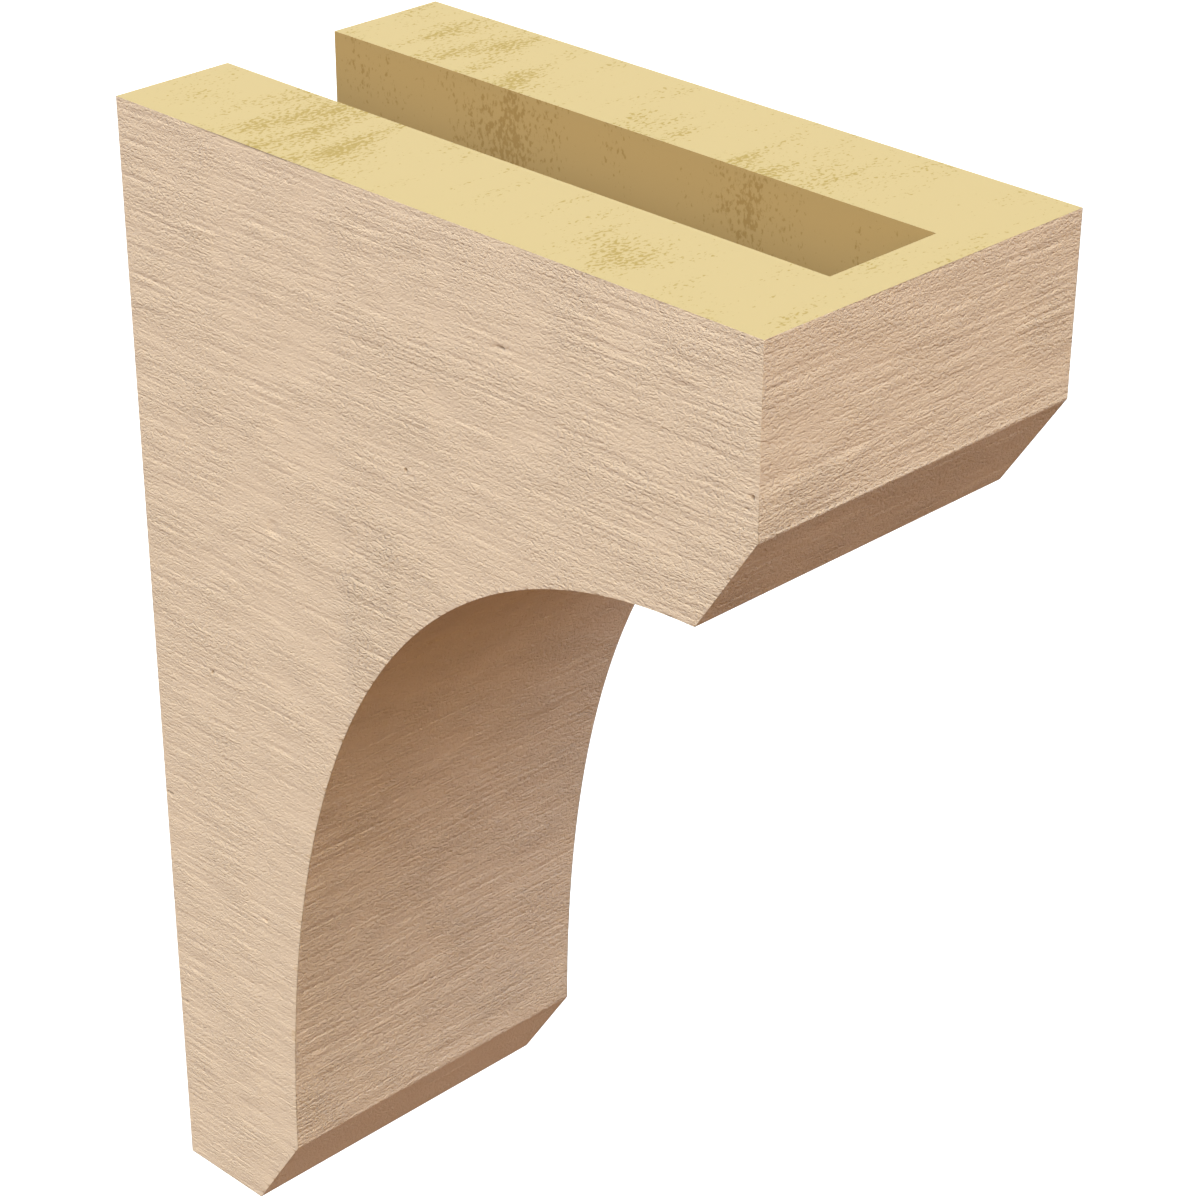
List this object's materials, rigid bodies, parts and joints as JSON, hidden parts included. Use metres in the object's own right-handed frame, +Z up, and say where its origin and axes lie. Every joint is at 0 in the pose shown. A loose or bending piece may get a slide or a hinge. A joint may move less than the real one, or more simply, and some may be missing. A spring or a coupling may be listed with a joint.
{
  "type": "corbel",
  "caption": "Rough-sawn timber-look corbel with an arched underside, chamfered nose and foot, and a channel open at the top and back.",
  "frame": {"origin": "on the wall plane, on the centreline, level with the top", "axes": "+Z up; the front faces -Y and the wall is on the +Y side of y = 0; +X is to the right seen from the front"},
  "size_m": [0.1524, 0.3048, 0.4572],
  "materials": {
    "primed_skin": "matt tan primed skin with a rough-sawn wood grain, raw yellow foam on top and in the channel"
  },
  "bodies": {
    "root": {"corbel": "primed_skin"}
  },
  "joints": []
}
